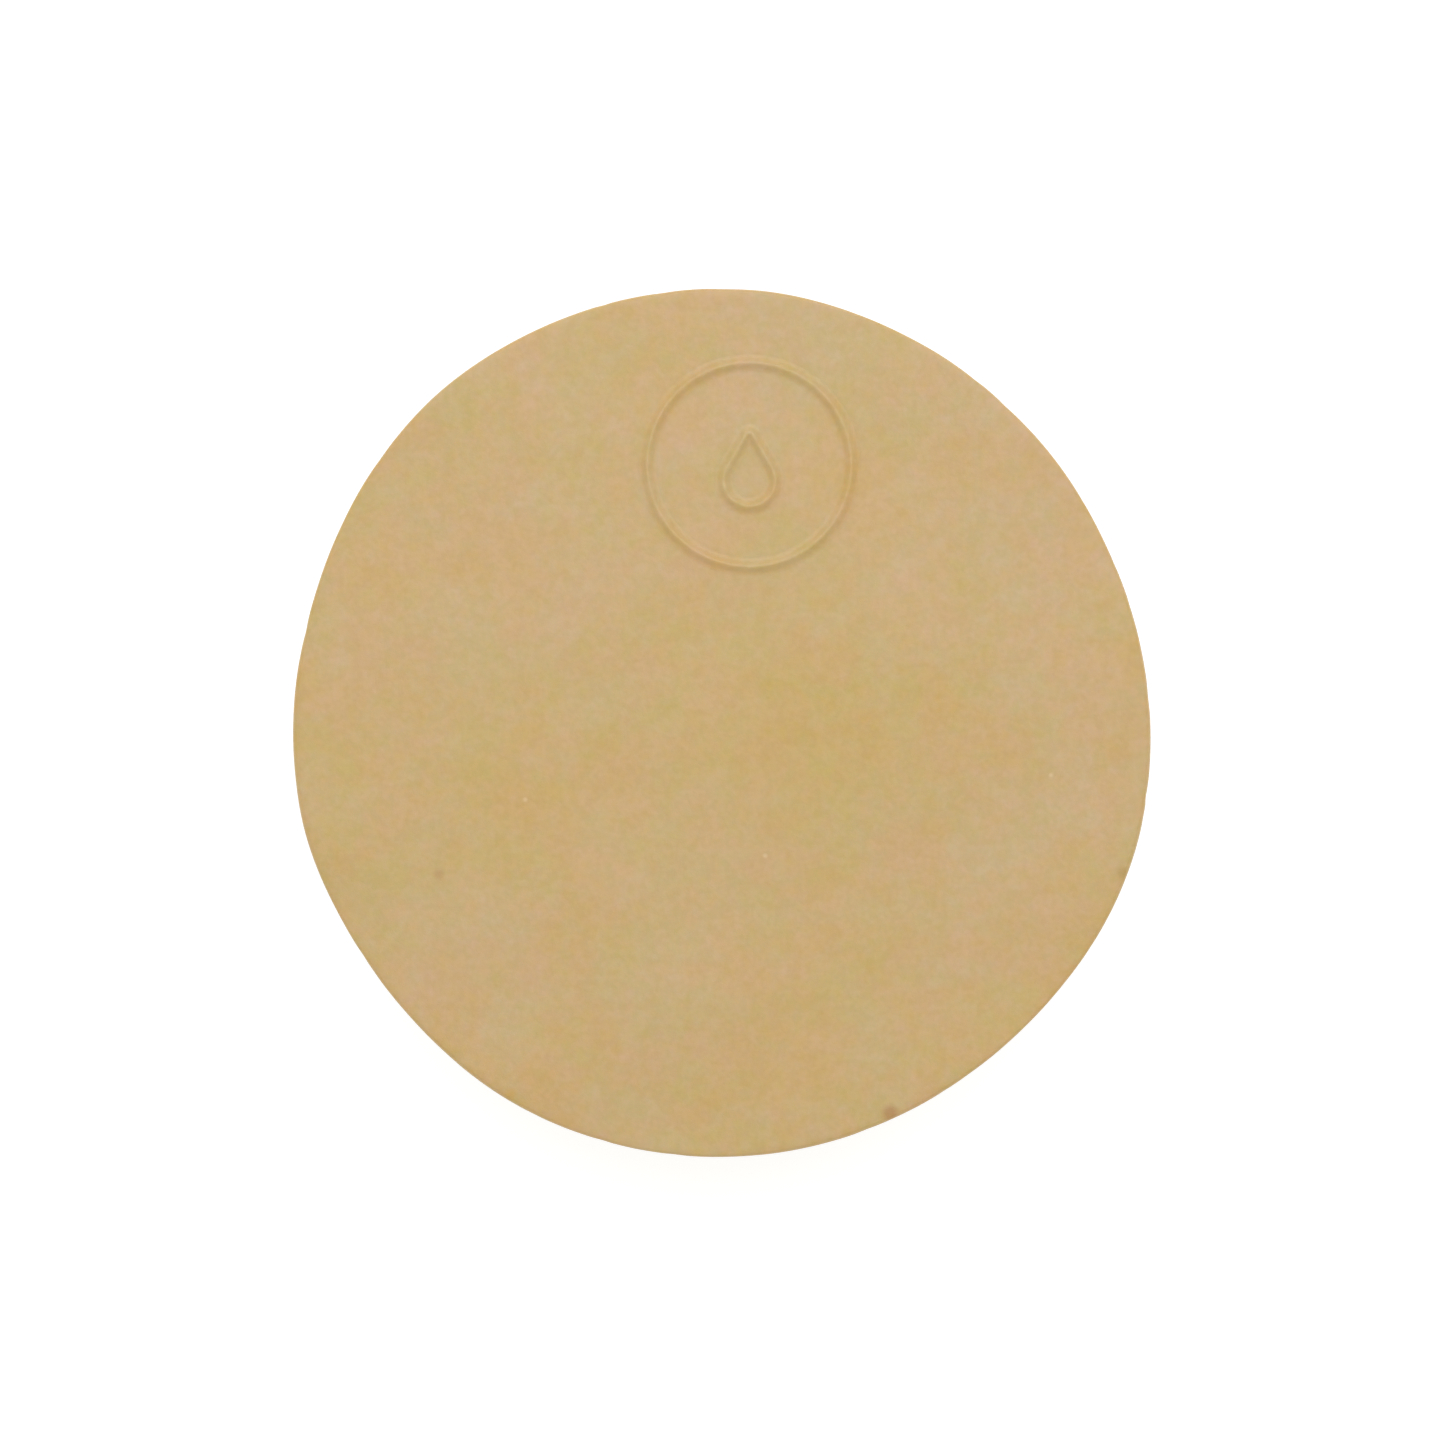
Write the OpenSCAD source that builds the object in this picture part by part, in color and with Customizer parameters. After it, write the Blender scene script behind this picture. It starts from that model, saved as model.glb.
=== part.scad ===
// Round shaving soap puck: one pressed disc of hard soap, with a thin-line mark raised on its top face.
// Millimetres. The puck stands on z = 0, its marked face looks along +Z and the mark lies towards +Y.

/* [Puck] */
// Width across the puck
puck_d = 60; // [50:1:75]
// Thickness of the puck
puck_h = 20; // [12:1:30]
// Radius of the rounded edge round both faces
edge_r = 0.3; // [0.2:0.1:2]

/* [Mark] */
// Width of a raised line at its foot
line_w = 0.8; // [0.6:0.1:1.2]
// Height of a raised line above the face
line_h = 0.2; // [0.1:0.05:0.5]
// Width across the outside of the ring
ring_d = 15; // [12:0.5:16]
// Width across the round end of the drop
drop_d = 4.4; // [3.6:0.2:6]
// Plain soap between the ring and the back of the puck
mark_gap = 4.5; // [3:0.5:8]
// How far the mark lies to the right of the puck's middle
mark_x = 2; // [-4:0.5:4]

/* [Hidden] */
$fn = 96;

soap_color = [0.79, 0.68, 0.48];

puck_r = puck_d / 2;
mark_y = puck_r - mark_gap - ring_d / 2;

// The ring's sides lean in by this much, so that it leaves the die. The drop's sides stand upright.
ring_lean = line_w / 4;

// The drop's tip stands this many times the round end's radius from the round end's centre, and its
// straight sides meet the round end where they are tangent to it.
tip_reach = 2;
tangent_angle = asin(1 / tip_reach);
arc_step = 10;
// The round end's centre lies this far below the middle of the drop's whole height.
drop_low = (tip_reach - 1) * drop_d / 4;

module puck_section() {
    square([puck_r - edge_r, puck_h]);
    translate([0, edge_r]) square([puck_r, puck_h - 2 * edge_r]);
    for (z = [edge_r, puck_h - edge_r]) translate([puck_r - edge_r, z]) circle(edge_r);
}

module ring_section() {
    polygon([[0, 0], [line_w, 0], [line_w - ring_lean, line_h], [ring_lean, line_h]]);
}

module drop_outline(r) {
    round_end = [for (a = [180 - tangent_angle:arc_step:360 + tangent_angle]) r * [cos(a), sin(a)]];
    polygon(concat(round_end, [[0, tip_reach * r]]));
}

module soap_body() {
    color(soap_color) rotate_extrude() puck_section();
}

module mark_ring() {
    color(soap_color)
        translate([mark_x, mark_y, puck_h])
            rotate_extrude() translate([ring_d / 2 - line_w, 0]) ring_section();
}

module mark_drop() {
    color(soap_color)
        translate([mark_x, mark_y - drop_low, puck_h])
            linear_extrude(line_h) difference() {
                drop_outline(drop_d / 2);
                drop_outline(drop_d / 2 - line_w);
            }
}

soap_body();
mark_ring();
mark_drop();
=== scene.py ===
"""Looks of a round puck of hard shaving soap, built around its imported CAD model.

Metres, with +Z up and the mark on the face towards +Y. The soap's colours and its finest relief are
laid out in millimetres instead, as are names that end in _mm or _MM.
"""
import math

import bpy
import numpy as np
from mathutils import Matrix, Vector


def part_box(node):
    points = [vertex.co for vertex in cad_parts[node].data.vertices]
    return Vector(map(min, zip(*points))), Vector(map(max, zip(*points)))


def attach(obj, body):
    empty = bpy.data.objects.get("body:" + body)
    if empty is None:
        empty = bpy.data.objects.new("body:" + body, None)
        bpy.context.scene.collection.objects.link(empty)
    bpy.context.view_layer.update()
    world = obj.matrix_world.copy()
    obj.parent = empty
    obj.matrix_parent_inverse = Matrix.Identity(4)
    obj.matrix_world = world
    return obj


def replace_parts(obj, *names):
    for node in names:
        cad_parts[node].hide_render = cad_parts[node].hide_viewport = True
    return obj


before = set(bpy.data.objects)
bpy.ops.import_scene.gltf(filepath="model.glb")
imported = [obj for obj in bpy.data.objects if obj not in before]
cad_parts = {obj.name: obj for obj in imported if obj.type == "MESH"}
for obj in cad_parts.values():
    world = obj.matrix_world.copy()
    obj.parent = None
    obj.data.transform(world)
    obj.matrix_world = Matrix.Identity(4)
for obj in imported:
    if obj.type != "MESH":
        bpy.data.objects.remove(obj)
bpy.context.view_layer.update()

MM = 0.001

# ---- What the CAD model gives ----

disc_low, disc_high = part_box("soap_body")
ring_low, ring_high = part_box("mark_ring")
drop_low, drop_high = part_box("mark_drop")

PUCK_RADIUS = (disc_high.x - disc_low.x) / 2
TOP = disc_high.z
RELIEF = ring_high.z - TOP
MARK_X = (ring_low.x + ring_high.x) / 2
MARK_Y = (ring_low.y + ring_high.y) / 2

# ---- Shape of the soap ----

EDGE_RADIUS = 0.3 * MM
LINE_WIDTH = 0.8 * MM
RING_RADIUS = (ring_high.x - ring_low.x - LINE_WIDTH) / 2
DROP_RADIUS = (drop_high.x - drop_low.x - LINE_WIDTH) / 2
DROP_CENTRE_Y = drop_low.y + (drop_high.x - drop_low.x) / 2
TIP_RADIUS = 0.25 * MM          # of the drop's tip, along the crest of its line
SHARPEST_TIP = 0.03 * MM        # and the least that it is anywhere else

# Each kind of unevenness is drawn from its own seed, so that every run gives the same puck.
SKIN_SEED = 11
DENT_SEED = 21
NICK_SEED = 22
DRAG_SEED = 23
RING_SEED = 3
DROP_SEED = 5

# The rim isn't quite round. Each wave is (how many round the rim, height, angle of a crest).
RIM_WAVES = (
    (2, 0.25 * MM, 105),
    (3, 0.12 * MM, 108),
    (4, 0.08 * MM, 79),
    (5, 0.08 * MM, 52),
    (6, 0.04 * MM, 20),
    (7, 0.05 * MM, 35),
)

# The skin is never quite flat. Each swell is (wavelength, height).
SKIN_SWELLS = (
    (30 * MM, 0.050 * MM),
    (12 * MM, 0.025 * MM),
    (5 * MM, 0.006 * MM),
)
WAVES_PER_SWELL = 9
SWELL_STRETCH = (0.7, 1.4)      # least and most that one wave's length is multiplied by

CAP_CELLS = 150        # squares across each face; the rim has four times as many points
EDGE_STEPS = 6         # rows round each rounded edge
WALL_STEPS = 64        # rows down the side wall

# Marks left by the mould and by handling, as (how many, least and most width, least and most depth).
DENTS = (46, 0.7 * MM, 2.4 * MM, 0.02 * MM, 0.09 * MM)
DRAG_LINES = (90, 0.6 * MM, 1.6 * MM, 0.008 * MM, 0.035 * MM)
UPPER_NICKS = (8, 0.5 * MM, 1.1 * MM, 0.02 * MM, 0.06 * MM)
LOWER_NICKS = (18, 0.5 * MM, 1.5 * MM, 0.05 * MM, 0.18 * MM)
DRAG_LENGTH = (0.3, 1.2)        # least and most length of a drag line, in thicknesses of the puck


def rim_radius(angle):
    """Distance from the puck's axis to its side wall."""
    waves = (height * np.cos(count * (angle - math.radians(crest))) for count, height, crest in RIM_WAVES)
    return PUCK_RADIUS + sum(waves)


def skin_height(points):
    """How far the skin swells out of, or sinks into, the plain shape at each of these points."""
    random = np.random.default_rng(SKIN_SEED)
    total = np.zeros(len(points))
    for wavelength, height in SKIN_SWELLS:
        directions = random.normal(size=(WAVES_PER_SWELL, 3))
        directions /= np.linalg.norm(directions, axis=1)[:, None]
        phases = random.uniform(0, 2 * math.pi, WAVES_PER_SWELL)
        lengths = wavelength * random.uniform(*SWELL_STRETCH, WAVES_PER_SWELL)
        for direction, phase, length in zip(directions, phases, lengths):
            total += height * np.sin(2 * math.pi * (points @ direction) / length + phase)
    return total / math.sqrt(WAVES_PER_SWELL)


def face_height(xy):
    """Height of the marked face at each of these points."""
    points = np.column_stack([xy, np.full(len(xy), TOP)])
    return TOP + skin_height(points)


def new_piece(name, points, faces, material):
    """A smooth mesh object with that material, riding on the part's one body."""
    mesh = bpy.data.meshes.new(name)
    mesh.from_pydata([tuple(p) for p in points], [], [tuple(f) for f in faces])
    mesh.polygons.foreach_set("use_smooth", [True] * len(mesh.polygons))
    mesh.materials.append(material)
    mesh.update()
    piece = bpy.data.objects.new(name, mesh)
    bpy.context.scene.collection.objects.link(piece)
    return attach(piece, "root")


def sharpen(mesh, numbers):
    """Breaks the smooth shading along the edges between these points."""
    chosen = set(numbers.tolist())
    sharp = mesh.attributes.new("sharp_edge", "BOOLEAN", "EDGE")
    sharp.data.foreach_set("value", [chosen.issuperset(edge.vertices) for edge in mesh.edges])


def band(first, second):
    """The squares between two closed loops of point numbers."""
    return np.column_stack([first, np.roll(first, -1), np.roll(second, -1), second])


# ---- The disc ----

def cap_layout():
    """A square grid of points bent onto a disc: each point's share of the radius, and its angle."""
    line = np.linspace(-1, 1, CAP_CELLS + 1)
    u, v = (a.ravel() for a in np.meshgrid(line, line))
    share = np.maximum(np.abs(u), np.abs(v))
    beside = np.abs(u) >= np.abs(v)
    long = np.where(beside, u, v)
    short = np.where(beside, v, u)
    lean = math.pi / 4 * np.divide(short, long, out=np.zeros_like(long), where=long != 0)
    angle = np.where(beside, lean, math.pi / 2 - lean) + np.where(long < 0, math.pi, 0)
    return share, np.mod(angle, 2 * math.pi)


def cap_squares():
    """The grid's squares, as point numbers, counter-clockwise from above."""
    row = CAP_CELLS + 1
    corner = np.array([i * row + j for i in range(CAP_CELLS) for j in range(CAP_CELLS)])
    return np.column_stack([corner, corner + 1, corner + row + 1, corner + row])


def wall_profile():
    """(inset from the rim, height, outward share of the skin's direction, upward share) down the side."""
    turn = np.linspace(0, math.pi / 2, EDGE_STEPS + 1)[1:]
    quarter = [(math.sin(a), math.cos(a)) for a in turn]
    upper = [(1 - sin, TOP - EDGE_RADIUS * (1 - cos), sin, cos) for sin, cos in quarter]
    wall = [(0, z, 1, 0) for z in np.linspace(TOP - EDGE_RADIUS, EDGE_RADIUS, WALL_STEPS + 1)[1:]]
    lower = [(1 - cos, EDGE_RADIUS * (1 - sin), cos, -sin) for sin, cos in quarter[:-1]]
    return [(inset * EDGE_RADIUS, height, out, rise) for inset, height, out, rise in upper + wall + lower]


def ring_of_points(radius, angle, height):
    return np.column_stack([radius * np.cos(angle), radius * np.sin(angle), np.full(len(angle), height)])


def build_disc(material):
    share, angle = cap_layout()
    radius = share * (rim_radius(angle) - EDGE_RADIUS)
    flat = np.column_stack([radius * np.cos(angle), radius * np.sin(angle)])
    size = len(flat)
    up = np.tile([0.0, 0.0, 1.0], (size, 1))
    rim = np.flatnonzero(np.isclose(share, 1))
    rim = rim[np.argsort(angle[rim])]
    rim_angle = angle[rim]

    points = [np.column_stack([flat, np.full(size, TOP)])]
    outward = [up]
    loops = [rim]
    for step, (inset, height, out, rise) in enumerate(wall_profile()):
        points.append(ring_of_points(rim_radius(rim_angle) - inset, rim_angle, height))
        outward.append(ring_of_points(out, rim_angle, rise))
        loops.append(np.arange(len(rim)) + size + step * len(rim))
    under = size + (len(loops) - 1) * len(rim)
    points.append(np.column_stack([flat, np.zeros(size)]))
    outward.append(-up)
    loops.append(rim + under)

    points = np.concatenate(points)
    outward = np.concatenate(outward)
    sideways = np.hypot(outward[:, 0], outward[:, 1])
    resting = np.clip(points[:, 2] / EDGE_RADIUS, 0, 1)
    lift = skin_height(points) * resting - dents(points) - rim_nicks(points) - drag_lines(points) * sideways
    points += outward * lift[:, None]

    squares = cap_squares()
    faces = [squares] + [band(b, a) for a, b in zip(loops, loops[1:])] + [squares[:, ::-1] + under]
    disc = new_piece("soap_disc", points, np.concatenate(faces), material)
    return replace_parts(disc, "soap_body")


def bowls(points, centres, widths, depths):
    """Depth at each point of a set of round hollows."""
    depth = np.zeros(len(points))
    for centre, width, deepest in zip(centres, widths, depths):
        away = np.linalg.norm(points - centre, axis=1) / (width / 2)
        depth += deepest * np.clip(1 - away ** 2, 0, 1) ** 2
    return depth


def spread(random, kind):
    """Widths and depths of one kind of mark."""
    count, narrow, wide, shallow, deep = kind
    return random.uniform(narrow, wide, count), random.uniform(shallow, deep, count)


def round_rim(random, heights):
    """Random places round the rim, one at each of these heights."""
    turn = random.uniform(0, 2 * math.pi, len(heights))
    return np.column_stack([rim_radius(turn) * np.cos(turn), rim_radius(turn) * np.sin(turn), heights])


def dents(points):
    """Shallow round knocks anywhere on the side wall."""
    random = np.random.default_rng(DENT_SEED)
    heights = random.uniform(0, TOP, DENTS[0])
    return bowls(points, round_rim(random, heights), *spread(random, DENTS))


def rim_nicks(points):
    """Small knocks along both edges. The lower edge, which takes the weight, has more and deeper ones."""
    random = np.random.default_rng(NICK_SEED)
    return sum(
        bowls(points, round_rim(random, np.full(kind[0], height)), *spread(random, kind))
        for kind, height in ((UPPER_NICKS, TOP), (LOWER_NICKS, 0.0))
    )


def drag_lines(points):
    """Shallow upright scores from sliding out of the mould."""
    random = np.random.default_rng(DRAG_SEED)
    turn = np.arctan2(points[:, 1], points[:, 0])
    depth = np.zeros(len(points))
    for width, deepest in zip(*spread(random, DRAG_LINES)):
        place = random.uniform(-math.pi, math.pi)
        middle = random.uniform(0, TOP)
        length = random.uniform(*DRAG_LENGTH) * TOP
        along = 2 * (points[:, 2] - middle) / length
        across = (np.mod(turn - place + math.pi, 2 * math.pi) - math.pi) * PUCK_RADIUS / (width / 2)
        depth += deepest * np.exp(-across ** 2) * np.clip(1 - along ** 2, 0, 1)
    return depth


# ---- The raised lines ----

LINE_SPREAD = 0.32 * MM      # how fast a raised line falls away from its crest
LINE_SINK = 0.003 * MM       # its foot ends this far under the face
LINE_ROOT = 0.15 * MM        # and its hidden underside lies this deep
LINE_ROWS = 19               # rows of points across it
LINE_STEP = 0.12 * MM        # and how far apart they are along it
LINE_RIPPLES = range(3, 14)  # its crest rises and falls this many times round the line, all at once
RIPPLE_HEIGHT = 0.08 / 3     # of the line's height
RIPPLE_SHIFT = 6.3           # each ripple starts at a random angle up to this one, about a whole turn
DROP_LEAN = math.radians(30)     # how far each straight side of the drop leans in
ROUND_END_POINTS = 200
ROUND_TIP_POINTS = 60
MEASURING_POINTS = 720           # enough to measure an outline's length by


def circle_outline(radius, count):
    turn = np.linspace(0, 2 * math.pi, count, endpoint=False)
    return radius * np.column_stack([np.cos(turn), np.sin(turn)])


def drop_outline(radius, count):
    """A drop with its tip up: a round end, two straight sides and a small round tip.

    Outlines for different radii run side by side, so that the line is as wide at the tip as elsewhere.
    """
    tip = max(radius - DROP_RADIUS + TIP_RADIUS, SHARPEST_TIP)
    tip_y = (radius - tip) / math.sin(DROP_LEAN)
    round_end = np.linspace(math.pi - DROP_LEAN, 2 * math.pi + DROP_LEAN, ROUND_END_POINTS)
    round_tip = np.linspace(DROP_LEAN, math.pi - DROP_LEAN, ROUND_TIP_POINTS)
    corners = np.concatenate([
        radius * np.column_stack([np.cos(round_end), np.sin(round_end)]),
        np.column_stack([tip * np.cos(round_tip), tip_y + tip * np.sin(round_tip)]),
    ])
    corners = np.vstack([corners, corners[:1]])
    along = np.concatenate([[0], np.cumsum(np.linalg.norm(np.diff(corners, axis=0), axis=1))])
    even = np.linspace(0, along[-1], count, endpoint=False)
    return np.column_stack([np.interp(even, along, corners[:, k]) for k in (0, 1)])


def raised_line(name, outline, radius, centre, node, seed, material):
    """A closed line raised on the face, whose feet run smoothly into it."""
    middle = outline(radius, MEASURING_POINTS)
    length = np.linalg.norm(middle - np.roll(middle, 1, axis=0), axis=1).sum()
    count = int(length / LINE_STEP)
    reach = LINE_SPREAD * math.sqrt(math.log(RELIEF / LINE_SINK))
    random = np.random.default_rng(seed)
    turn = np.linspace(0, 2 * math.pi, count, endpoint=False)
    ripples = sum(np.sin(k * turn + random.uniform(0, RIPPLE_SHIFT)) for k in LINE_RIPPLES)
    crest = RELIEF * (1 + RIPPLE_HEIGHT * ripples)

    loops = []
    for offset in np.linspace(-reach, reach, LINE_ROWS):
        xy = outline(radius + offset, count) + centre
        height = crest * math.exp(-(offset / LINE_SPREAD) ** 2) - LINE_SINK
        loops.append(np.column_stack([xy, face_height(xy) + height]))
    for side in (loops[-1], loops[0]):
        loops.append(side - [0, 0, LINE_ROOT])
    points = np.concatenate(loops)
    numbers = [np.arange(count) + k * count for k in range(len(loops))]
    faces = np.concatenate([band(a, b) for a, b in zip(numbers, numbers[1:] + numbers[:1])])
    line = new_piece(name, points, faces[:, ::-1], material)
    sharpen(line.data, np.concatenate([numbers[0], numbers[LINE_ROWS - 1]]))
    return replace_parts(line, node)


# ---- Soap ----

def linear(red, green, blue):
    """A colour given as 0 to 255 screen values, as the renderer counts light."""
    shares = (c / 255 for c in (red, green, blue))
    return tuple(c / 12.92 if c <= 0.04045 else ((c + 0.055) / 1.055) ** 2.4 for c in shares)


def add(tree, kind, inputs=(), **settings):
    """A new node. Each input is set to a value, or linked if it is given another node's output."""
    made = tree.nodes.new(kind)
    for name, value in settings.items():
        setattr(made, name, value)
    for name, value in dict(inputs).items():
        if isinstance(value, bpy.types.NodeSocket):
            tree.links.new(value, made.inputs[name])
        else:
            made.inputs[name].default_value = value
    return made


def arithmetic(tree, operation, *values):
    return add(tree, "ShaderNodeMath", enumerate(values), operation=operation).outputs[0]


def blend(tree, share, first, second, way="MIX"):
    """Mixes two colours: share 0 gives the first and 1 the second."""
    made = add(tree, "ShaderNodeMix", {0: share, 6: first, 7: second}, data_type="RGBA", blend_type=way)
    return made.outputs[2]


def noise(tree, where, size_mm, octaves):
    """Noise from 0 to 1, with blobs size_mm across and others as strong at half that size, and so on."""
    made = add(tree, "ShaderNodeTexNoise", {
        "Vector": where, "Scale": 1 / size_mm, "Detail": octaves - 1.0, "Roughness": 1.0})
    return made.outputs["Fac"]


def contrast(tree, value, times):
    """Noise drawn out about its middle."""
    return arithmetic(tree, "MULTIPLY_ADD", arithmetic(tree, "SUBTRACT", value, 0.5), times, 0.5)


def mottling(tree, where, kind):
    size_mm, octaves, times = kind
    return contrast(tree, noise(tree, where, size_mm, octaves), times)


def spot(tree, where, centre_mm, radius_mm, softness, strength):
    """That strength at the centre, falling to 0 at radius_mm over the outer share given by softness."""
    away = add(tree, "ShaderNodeVectorMath", {0: where, 1: centre_mm}, operation="DISTANCE")
    made = add(tree, "ShaderNodeMapRange", {
        "Value": away.outputs["Value"],
        "From Min": radius_mm * (1 - softness),
        "From Max": radius_mm,
        "To Min": strength,
        "To Max": 0.0,
    }, interpolation_type="SMOOTHSTEP")
    return made.outputs["Result"]


def cast(colour):
    """What the soap's average colour is multiplied by to give this one."""
    return (*(c / a for c, a in zip(colour[:3], AVERAGE[:3])), 1)


TOP_MM = TOP / MM
AVERAGE = (*linear(197, 166, 111), 1)
PALE = (*linear(198, 167, 122), 1)
DEEP = (*linear(195, 164, 97), 1)
OCHRE = (*linear(196, 158, 86), 1)
RUST = (*linear(168, 116, 66), 1)
OLIVE = (*linear(178, 146, 84), 1)
CREAM = (*linear(216, 190, 145), 1)

# Casts that the mottled colour is multiplied by.
PINK_CAST = (1.03, 0.975, 0.995, 1)
GREEN_CAST = (0.97, 1.025, 1.005, 1)
LIGHT_GRAIN = (1.03, 1.03, 1.06, 1)
DARK_GRAIN = (0.97, 0.97, 0.94, 1)

# Mottling, as (size of the largest blobs, octaves, contrast).
YELLOWNESS = (16, 6, 3.8)
PINKNESS = (7, 4, 4.5)
LIGHTNESS = (0.7, 2, 3.1)
WEAR = (2.5, 3, 3.0)

# Relief too fine for the mesh, as (size of the largest blobs, octaves).
GRAIN = (0.4, 3)
PEEL = (1.6, 2)
STREAKS = (1.4, 4)
STREAK_SQUEEZE = (1.0, 1.0, 0.12)       # what places are multiplied by along X, Y and Z

# How deep each one goes, in millimetres.
GRAIN_DEPTH = 0.012
PEEL_DEPTH = 0.018
STREAK_DEPTH = 0.05
PIT_DEPTH = 0.10

# Pits lie about one spacing apart, in millimetres. That share of them is large enough to see.
PIT_SPACING = 1.7
PIT_SHARE = 0.4
PIT_REACH = (0.001, 0.22)       # least and most radius of a pit, in spacings

# How much the side wall and a worn edge take on a colour of their own, and how much painted shade, a darker
# ochre, fills the bottom of a pit.
WALL_TINT = 0.6
PIT_PAINTED_SHADE = 0.35
WORN_TINT = 0.30

WEAR_REACH = (0.2, 1.4)         # millimetres that wear fades out over, where its mottling is 0 and 1
ROUGHNESS = (0.44, 0.56)
WORN_GLOSS = 0.12               # how much smoother a worn edge is

# Patches and specks have soft edges: this share of their radius fades out.
PATCH_SOFTNESS = 0.95
SPECK_SOFTNESS = 0.8

# Patches on the marked face, as (x, y, radius, colour, strength). They tint the mottled soap under them.
PATCHES = (
    (1, -1, 24, DEEP, 0.36),
    (2, -1, 14, DEEP, 0.34),
    (-2, 30, 22, PALE, 0.35),
    (15.5, 19.5, 9, PALE, 0.3),
    (-16, 17, 10, PALE, 0.3),
    (3, 10.5, 6.5, DEEP, 0.35),
    (7.5, 12, 2.2, OCHRE, 0.14),
    (4, 2.5, 5, DEEP, 0.35),
    (9.5, 6, 4, DEEP, 0.4),
    (15.5, 2.5, 4, DEEP, 0.35),
    (8.5, -3, 5, DEEP, 0.35),
    (-7.5, -1.5, 3.6, OCHRE, 0.13),
    (8.5, 9.5, 3, OCHRE, 0.13),
    (-12.5, -25, 3.5, OCHRE, 0.18),
    (-24, -11, 8, DEEP, 0.35),
)

# Single specks, as (x, y, radius, colour, strength). They cover the mottling.
SPECKS = (
    (-19.6, -10.5, 0.55, RUST, 0.28),
    (11.8, -27.1, 0.8, RUST, 0.6),
    (28, -10.4, 0.6, OLIVE, 0.7),
    (-14.6, -25.8, 0.6, OCHRE, 0.8),
    (3.1, -9.2, 0.25, CREAM, 0.6),
    (23, -3.6, 0.25, CREAM, 0.6),
    (-13.6, -5.3, 0.25, CREAM, 0.6),
)


def bump(tree, height, depth_mm, normal=None):
    """Relief that deep, laid over the relief that is already there."""
    inputs = {"Height": height, "Distance": depth_mm * MM, "Strength": 1.0}
    if normal is not None:
        inputs["Normal"] = normal
    return add(tree, "ShaderNodeBump", inputs).outputs["Normal"]


def wall_share(tree):
    """1 on the upright side wall, 0 on both faces."""
    normal = add(tree, "ShaderNodeNewGeometry").outputs["True Normal"]
    upright = add(tree, "ShaderNodeSeparateXYZ", {0: normal}).outputs["Z"]
    return arithmetic(tree, "SUBTRACT", 1.0, arithmetic(tree, "ABSOLUTE", upright))


def stretched(tree, where):
    """Places drawn together along Z, so that noise there runs in upright streaks."""
    return add(tree, "ShaderNodeVectorMath", {0: where, 1: STREAK_SQUEEZE}, operation="MULTIPLY").outputs[0]


def small_pits(tree, where):
    """1 at the bottom of small round pits, a few to the square centimetre, 0 between them."""
    cells = add(tree, "ShaderNodeTexVoronoi", {"Vector": where, "Scale": 1 / PIT_SPACING, "Randomness": 1.0})
    chance = add(tree, "ShaderNodeSeparateXYZ", {0: cells.outputs["Color"]}).outputs["X"]
    reach = add(tree, "ShaderNodeMapRange", {
        "Value": chance,
        "From Min": 1 - PIT_SHARE,
        "From Max": 1.0,
        "To Min": PIT_REACH[0],
        "To Max": PIT_REACH[1],
    }).outputs["Result"]
    return add(tree, "ShaderNodeMapRange", {
        "Value": cells.outputs["Distance"],
        "From Min": 0.0,
        "From Max": reach,
        "To Min": 1.0,
        "To Max": 0.0,
    }, interpolation_type="SMOOTHSTEP").outputs["Result"]


def worn_edge(tree, where):
    """1 at the upper and lower edges, fading unevenly to 0 about a millimetre away."""
    height = add(tree, "ShaderNodeSeparateXYZ", {0: where}).outputs["Z"]
    from_middle = arithmetic(tree, "ABSOLUTE", arithmetic(tree, "SUBTRACT", height, TOP_MM / 2))
    to_edge = arithmetic(tree, "SUBTRACT", TOP_MM / 2, from_middle)
    least, most = WEAR_REACH
    reach = arithmetic(tree, "MULTIPLY_ADD", mottling(tree, where, WEAR), most - least, least)
    return add(tree, "ShaderNodeMapRange", {
        "Value": to_edge,
        "From Min": 0.0,
        "From Max": reach,
        "To Min": 1.0,
        "To Max": 0.0,
    }, interpolation_type="SMOOTHSTEP").outputs["Result"]


def soap_colour(tree, where, wall, pits, worn):
    """Mottled tan, with patches and specks on the marked face, a plainer side wall and painted shade in its
    pits.
    """
    colour = blend(tree, mottling(tree, where, YELLOWNESS), PALE, DEEP)
    for kind, low, high in ((PINKNESS, GREEN_CAST, PINK_CAST), (LIGHTNESS, DARK_GRAIN, LIGHT_GRAIN)):
        colour = blend(tree, 1.0, colour, blend(tree, mottling(tree, where, kind), low, high), "MULTIPLY")
    for x, y, radius_mm, tint, strength in PATCHES:
        share = spot(tree, where, (x, y, TOP_MM), radius_mm, PATCH_SOFTNESS, strength)
        colour = blend(tree, share, colour, cast(tint), "MULTIPLY")
    for x, y, radius_mm, tint, strength in SPECKS:
        share = spot(tree, where, (x, y, TOP_MM), radius_mm, SPECK_SOFTNESS, strength)
        colour = blend(tree, share, colour, tint)
    # The side wall turns plainer and its worn edges paler. The pits get painted shade: a darker ochre at
    # their bottoms.
    wall_tints_and_pit_shade = (wall, WALL_TINT, AVERAGE), (pits, PIT_PAINTED_SHADE, OCHRE), (worn, WORN_TINT, CREAM)
    for place, strength, tint in wall_tints_and_pit_shade:
        colour = blend(tree, arithmetic(tree, "MULTIPLY", place, strength), colour, tint)
    return colour


def soap_relief(tree, where, peel, wall, pits):
    """Grain and peel all over, and streaks and pits on the side wall."""
    streaks = noise(tree, stretched(tree, where), *STREAKS)
    normal = bump(tree, noise(tree, where, *GRAIN), GRAIN_DEPTH)
    normal = bump(tree, peel, PEEL_DEPTH, normal)
    normal = bump(tree, arithmetic(tree, "MULTIPLY", streaks, wall), STREAK_DEPTH, normal)
    return bump(tree, arithmetic(tree, "MULTIPLY", pits, -1.0), PIT_DEPTH, normal)


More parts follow.
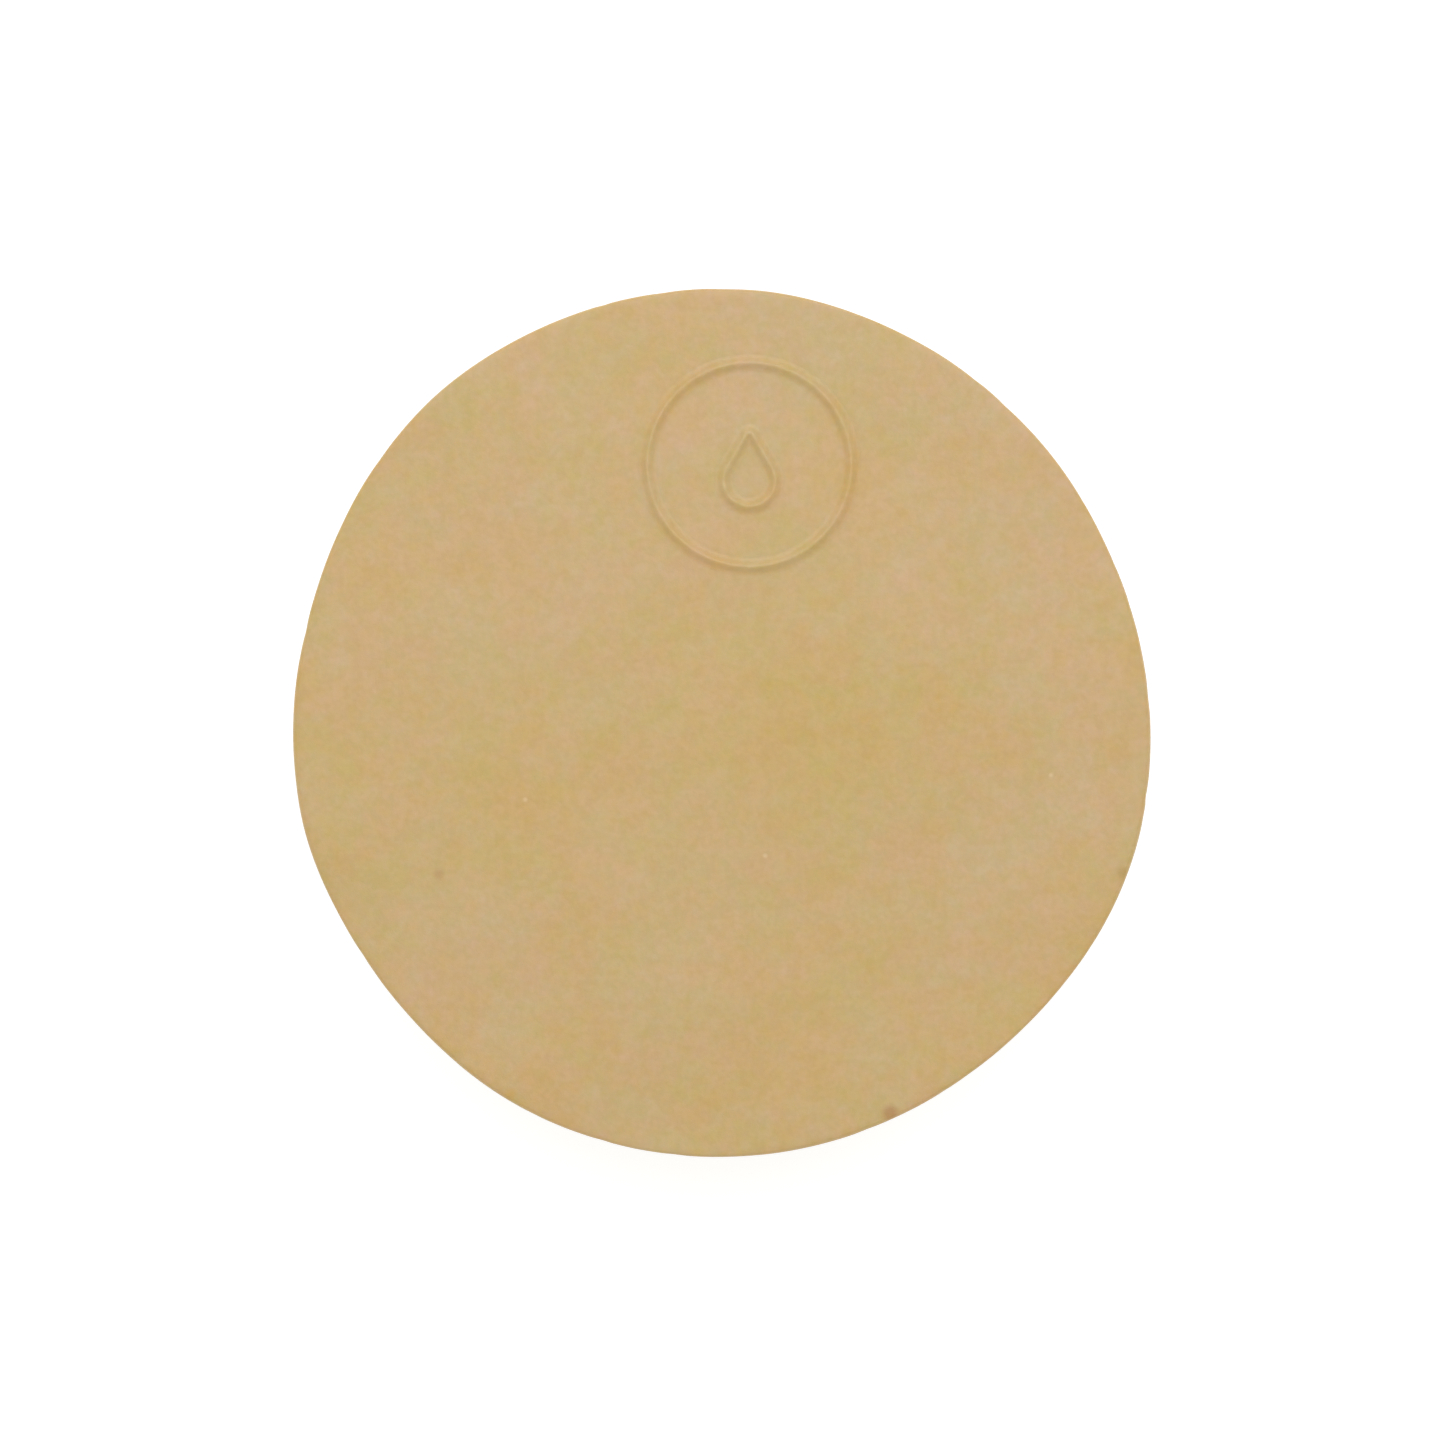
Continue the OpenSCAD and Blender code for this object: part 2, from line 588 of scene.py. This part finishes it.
def soap_roughness(tree, peel, worn):
    smooth, rough = ROUGHNESS
    plain = add(tree, "ShaderNodeMapRange", {"Value": peel, "To Min": smooth, "To Max": rough}).outputs[0]
    return arithmetic(tree, "SUBTRACT", plain, arithmetic(tree, "MULTIPLY", worn, WORN_GLOSS))


def soap_material():
    """Tan hard soap: faintly mottled, finely grained and waxy."""
    material = bpy.data.materials.new("soap")
    material.use_nodes = True
    tree = material.node_tree
    tree.nodes.clear()
    place = add(tree, "ShaderNodeTexCoord").outputs["Object"]
    where = add(tree, "ShaderNodeVectorMath", {0: place, "Scale": 1 / MM}, operation="SCALE").outputs[0]
    wall = wall_share(tree)
    pits = arithmetic(tree, "MULTIPLY", small_pits(tree, where), wall)
    worn = arithmetic(tree, "MULTIPLY", worn_edge(tree, where), wall)
    peel = noise(tree, where, *PEEL)
    shader = add(tree, "ShaderNodeBsdfPrincipled", {
        "Base Color": soap_colour(tree, where, wall, pits, worn),
        "Roughness": soap_roughness(tree, peel, worn),
        "IOR": 1.46,
        "Coat Weight": 0.1,
        "Coat Roughness": 0.35,
        "Subsurface Weight": 0.15,
        "Subsurface Radius": (1.0, 0.6, 0.3),
        "Subsurface Scale": 0.6 * MM,
        "Normal": soap_relief(tree, where, peel, wall, pits),
    })
    output = add(tree, "ShaderNodeOutputMaterial", {"Surface": shader.outputs[0]})
    output.is_active_output = True
    return material


# ---- Studio ----

WHITE = (1, 1, 1, 1)
FLOOR_GREY = (0.4, 0.4, 0.4, 1)
FLOOR_REACH = 30.0              # metres from the puck to each side of the floor
FLOOR_GLOW = 0.80               # light of its own, which keeps it white with hardly a shadow

# Brightness of the surroundings, and how far up it goes, from 0 at the horizon to 1 overhead.
HORIZON_LIGHT = 1.1
HORIZON_TOP = 0.03
SKY_LIGHT = 0.46
SKY_FOOT = 0.35

LAMP_WIDTH = 0.9
LAMP_POWER = 9.2
LAMP_DISTANCE = 1.2
LAMP_UPWARD = math.radians(67)
LAMP_ASIDE = math.radians(3)    # from +Y towards +X

PICTURE_WIDTH = 100.6 * MM
PICTURE_MIDDLE = (0.13 * MM, 0.07 * MM)


def build_floor():
    """A plain white floor that the puck rests on."""
    mesh = bpy.data.meshes.new("floor")
    reach = FLOOR_REACH
    corners = [(-reach, -reach, 0), (reach, -reach, 0), (reach, reach, 0), (-reach, reach, 0)]
    mesh.from_pydata(corners, [], [(0, 1, 2, 3)])
    material = bpy.data.materials.new("floor_white")
    material.use_nodes = True
    shader = material.node_tree.nodes["Principled BSDF"]
    shader.inputs["Base Color"].default_value = FLOOR_GREY
    shader.inputs["Roughness"].default_value = 0.9
    shader.inputs["Emission Color"].default_value = WHITE
    shader.inputs["Emission Strength"].default_value = FLOOR_GLOW
    mesh.materials.append(material)
    floor = bpy.data.objects.new("floor", mesh)
    bpy.context.scene.collection.objects.link(floor)


def build_surroundings():
    """Soft light from all round, brightest at the horizon."""
    world = bpy.data.worlds.new("studio")
    world.use_nodes = True
    tree = world.node_tree
    direction = add(tree, "ShaderNodeTexCoord").outputs["Generated"]
    height = add(tree, "ShaderNodeSeparateXYZ", {0: direction}).outputs["Z"]
    strength = add(tree, "ShaderNodeMapRange", {
        "Value": height,
        "From Min": HORIZON_TOP,
        "From Max": SKY_FOOT,
        "To Min": HORIZON_LIGHT,
        "To Max": SKY_LIGHT,
    }, interpolation_type="SMOOTHSTEP").outputs["Result"]
    tree.links.new(strength, tree.nodes["Background"].inputs["Strength"])
    tree.nodes["Background"].inputs["Color"].default_value = WHITE
    bpy.context.scene.world = world


def build_lamp():
    """A large soft lamp high up beyond the mark, turned towards the puck."""
    lamp = bpy.data.lights.new("key", "AREA")
    lamp.shape = "DISK"
    lamp.size = LAMP_WIDTH
    lamp.energy = LAMP_POWER
    key = bpy.data.objects.new("key", lamp)
    level = Vector((math.sin(LAMP_ASIDE), math.cos(LAMP_ASIDE), 0))
    towards = level * math.cos(LAMP_UPWARD) + Vector((0, 0, math.sin(LAMP_UPWARD)))
    key.location = towards * LAMP_DISTANCE
    key.rotation_euler = towards.to_track_quat("Z", "Y").to_euler()
    bpy.context.scene.collection.objects.link(key)


def build_camera():
    """Straight above the face, with +Y up in the picture."""
    data = bpy.data.cameras.new("camera")
    data.lens = 135
    data.sensor_width = 36
    data.clip_start = 0.01
    camera = bpy.data.objects.new("camera", data)
    distance = PICTURE_WIDTH * data.lens / data.sensor_width
    camera.location = (*PICTURE_MIDDLE, TOP + distance)
    bpy.context.scene.collection.objects.link(camera)
    bpy.context.scene.camera = camera


soap = soap_material()
ring_centre = np.array([MARK_X, MARK_Y])
drop_centre = np.array([MARK_X, DROP_CENTRE_Y])
pieces = [
    build_disc(soap),
    raised_line("ring_line", circle_outline, RING_RADIUS, ring_centre, "mark_ring", RING_SEED, soap),
    raised_line("drop_line", drop_outline, DROP_RADIUS, drop_centre, "mark_drop", DROP_SEED, soap),
]
build_floor()
build_surroundings()
build_lamp()
build_camera()
bpy.context.scene.view_settings.view_transform = "Standard"
